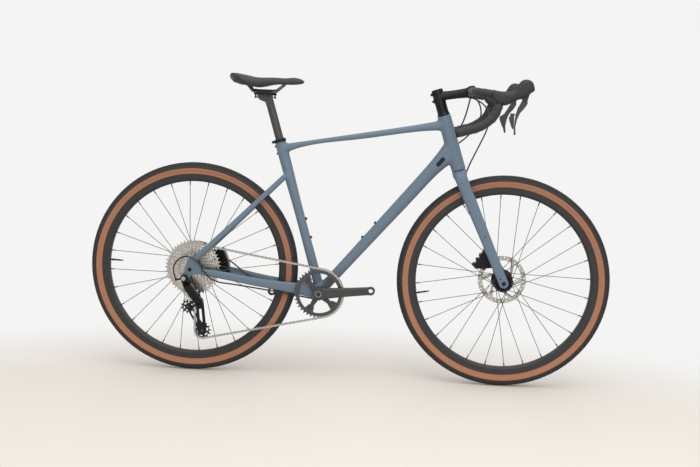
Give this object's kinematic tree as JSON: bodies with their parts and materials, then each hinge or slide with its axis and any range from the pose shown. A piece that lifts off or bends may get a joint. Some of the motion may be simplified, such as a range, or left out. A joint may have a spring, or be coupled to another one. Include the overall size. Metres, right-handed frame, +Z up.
{
  "type": "gravel bicycle",
  "caption": "Drop-bar gravel bicycle with a matte slate-blue frame and fork, tan-wall tyres, disc brakes, chain drive with a wide cassette and rear derailleur, black bar and saddle; no pedals.",
  "frame": {"origin": "on the floor, midway between the two axles and midway between the handlebar's ends", "axes": "+X forward along the ride, +Y to the rider's left, +Z up"},
  "size_m": [1.7298, 0.5114, 1.0056],
  "materials": {
    "frame_paint": "matte slate-blue paint",
    "black_alloy": "satin black anodised",
    "rim": "matte black anodised",
    "steel": "brushed",
    "pad_plate": "dull",
    "tyre": "black tread with tan sidewalls",
    "grip_rubber": "matte",
    "lever": "satin dark grey",
    "pulley": "moulded",
    "saddle_base": "moulded",
    "saddle_cover": "matte black synthetic cover"
  },
  "bodies": {
    "frame": {"head_tube": "frame_paint", "top_tube": "frame_paint", "down_tube": "frame_paint", "seat_tube": "frame_paint", "bottom_bracket_shell": "frame_paint", "chainstays": "frame_paint", "seatstays": "frame_paint", "dropouts": "frame_paint", "headset_bearings": "black_alloy", "bottom_bracket_cups": "black_alloy", "seat_collar": "black_alloy", "frame_fittings": "black_alloy", "rear_caliper": "black_alloy", "rear_axle": "black_alloy", "rear_cables": "grip_rubber", "steering_cables": "grip_rubber", "chain": "steel", "derailleur_mount": "black_alloy"},
    "seat": {"seatpost": "black_alloy", "seat_clamp": "black_alloy", "saddle_rails": "steel", "saddle_shell": "saddle_base", "saddle_cover": "saddle_cover"},
    "steering": {"fork": "frame_paint", "stem": "black_alloy", "stem_faceplate": "black_alloy", "stem_hardware": "black_alloy", "handlebar": "black_alloy", "bar_tape": "grip_rubber", "lever_bodies": "grip_rubber", "front_caliper": "black_alloy", "front_axle": "black_alloy", "front_brake_hose": "grip_rubber"},
    "front_wheel": {"front_tyre": "tyre", "front_rim": "rim", "front_spokes": "steel", "front_hub": "black_alloy", "front_rotor": "steel"},
    "rear_wheel": {"rear_tyre": "tyre", "rear_rim": "rim", "rear_spokes": "steel", "rear_hub": "black_alloy", "rear_rotor": "steel"},
    "cassette": {"cassette": "steel"},
    "crankset": {"crank_right": "black_alloy", "crank_left": "black_alloy", "chainring": "steel"},
    "outer_link": {"outer_link": "black_alloy"},
    "inner_link": {"inner_link": "steel"},
    "p_knuckle": {"p_knuckle": "black_alloy"},
    "cage": {"cage": "black_alloy"},
    "guide_pulley": {"guide_pulley": "pulley"},
    "tension_pulley": {"tension_pulley": "pulley"},
    "brake_lever_left": {"brake_lever_left": "lever"},
    "brake_lever_right": {"brake_lever_right": "lever"},
    "shift_lever": {"shift_lever": "lever"},
    "front_outer_pad": {"front_outer_pad": "pad_plate"},
    "front_inner_pad": {"front_inner_pad": "pad_plate"},
    "rear_outer_pad": {"rear_outer_pad": "pad_plate"},
    "rear_inner_pad": {"rear_inner_pad": "pad_plate"}
  },
  "joints": [
    {"name": "steer", "type": "hinge", "parent": "frame", "child": "steering", "pos_m": [0.35291, 0, 0.70972], "axis": [-0.309, 0, 0.9511], "range_deg": [-60, 60], "deforming": ["steering_cables"]},
    {"name": "front_wheel_spin", "type": "hinge", "parent": "steering", "child": "front_wheel", "pos_m": [0.515, 0, 0.35], "axis": [0, 1, 0], "continuous": true},
    {"name": "rear_wheel_spin", "type": "hinge", "parent": "frame", "child": "rear_wheel", "pos_m": [-0.515, 0, 0.35], "axis": [0, 1, 0], "continuous": true},
    {"name": "crank_spin", "type": "hinge", "parent": "frame", "child": "crankset", "pos_m": [-0.088, 0, 0.287], "axis": [0, 1, 0], "continuous": true, "deforming": ["chain"]},
    {"name": "cassette_spin", "type": "hinge", "parent": "frame", "child": "cassette", "pos_m": [-0.515, 0, 0.35], "axis": [0, 1, 0], "continuous": true},
    {"name": "guide_spin", "type": "hinge", "parent": "cage", "child": "guide_pulley", "pos_m": [-0.5274, -0.0295, 0.2182], "axis": [0, 1, 0], "continuous": true},
    {"name": "tension_spin", "type": "hinge", "parent": "cage", "child": "tension_pulley", "pos_m": [-0.47698, -0.0295, 0.13887], "axis": [0, 1, 0], "continuous": true},
    {"name": "outer_link_pivot", "type": "hinge", "parent": "frame", "child": "outer_link", "pos_m": [-0.51771, -0.0968, 0.29613], "axis": [0.8609, 0, 0.5087], "range_deg": [-32, 4]},
    {"name": "inner_link_pivot", "type": "hinge", "parent": "frame", "child": "inner_link", "pos_m": [-0.52229, -0.0812, 0.30387], "axis": [0.8609, 0, 0.5087], "range_deg": [-32, 4]},
    {"name": "p_knuckle_pivot", "type": "hinge", "parent": "outer_link", "child": "p_knuckle", "pos_m": [-0.49171, -0.06729, 0.25213], "axis": [0.8609, 0, 0.5087], "range_deg": [-4, 32]},
    {"name": "cage_pivot", "type": "hinge", "parent": "p_knuckle", "child": "cage", "pos_m": [-0.488, -0.0295, 0.239], "axis": [0, 1, 0], "range_deg": [-12, 8], "stiffness_Nm_per_rad": 1.2},
    {"name": "brake_lever_left_pull", "type": "hinge", "parent": "steering", "child": "brake_lever_left", "pos_m": [0.53625, 0.21, 0.94345], "axis": [0, 1, 0], "range_deg": [0, 15], "stiffness_Nm_per_rad": 1.5, "springref_deg": -5.73},
    {"name": "brake_lever_right_pull", "type": "hinge", "parent": "steering", "child": "brake_lever_right", "pos_m": [0.53625, -0.21, 0.94345], "axis": [0, 1, 0], "range_deg": [0, 15], "stiffness_Nm_per_rad": 1.5, "springref_deg": -5.73},
    {"name": "shift_lever_push", "type": "hinge", "parent": "brake_lever_right", "child": "shift_lever", "pos_m": [0.50225, -0.21, 0.89745], "axis": [1, 0, 0], "range_deg": [0, 20], "stiffness_Nm_per_rad": 0.3, "springref_deg": -5.73},
    {"name": "seatpost_slide", "type": "slide", "parent": "frame", "child": "seat", "axis": [-0.2924, 0, 0.9563], "range_m": [-0.09, 0.03]},
    {"name": "front_outer_pad_slide", "type": "slide", "parent": "steering", "child": "front_outer_pad", "axis": [0, -1, 0], "range_m": [0, 0.0004]},
    {"name": "front_inner_pad_slide", "type": "slide", "parent": "steering", "child": "front_inner_pad", "axis": [0, 1, 0], "range_m": [0, 0.0004]},
    {"name": "rear_outer_pad_slide", "type": "slide", "parent": "frame", "child": "rear_outer_pad", "axis": [0, -1, 0], "range_m": [0, 0.0004]},
    {"name": "rear_inner_pad_slide", "type": "slide", "parent": "frame", "child": "rear_inner_pad", "axis": [0, 1, 0], "range_m": [0, 0.0004]}
  ],
  "couplings": [
    {"joint": "cassette_spin", "follows": "crank_spin", "ratio": 1},
    {"joint": "guide_spin", "follows": "crank_spin", "ratio": -3.6364},
    {"joint": "tension_spin", "follows": "crank_spin", "ratio": 3.0769},
    {"joint": "inner_link_pivot", "follows": "outer_link_pivot", "ratio": 1},
    {"joint": "p_knuckle_pivot", "follows": "outer_link_pivot", "ratio": -1},
    {"joint": "front_outer_pad_slide", "follows": "brake_lever_left_pull", "m_per_rad": 0.0015279},
    {"joint": "front_inner_pad_slide", "follows": "brake_lever_left_pull", "m_per_rad": 0.0015279},
    {"joint": "rear_outer_pad_slide", "follows": "brake_lever_right_pull", "m_per_rad": 0.0015279},
    {"joint": "rear_inner_pad_slide", "follows": "brake_lever_right_pull", "m_per_rad": 0.0015279}
  ]
}
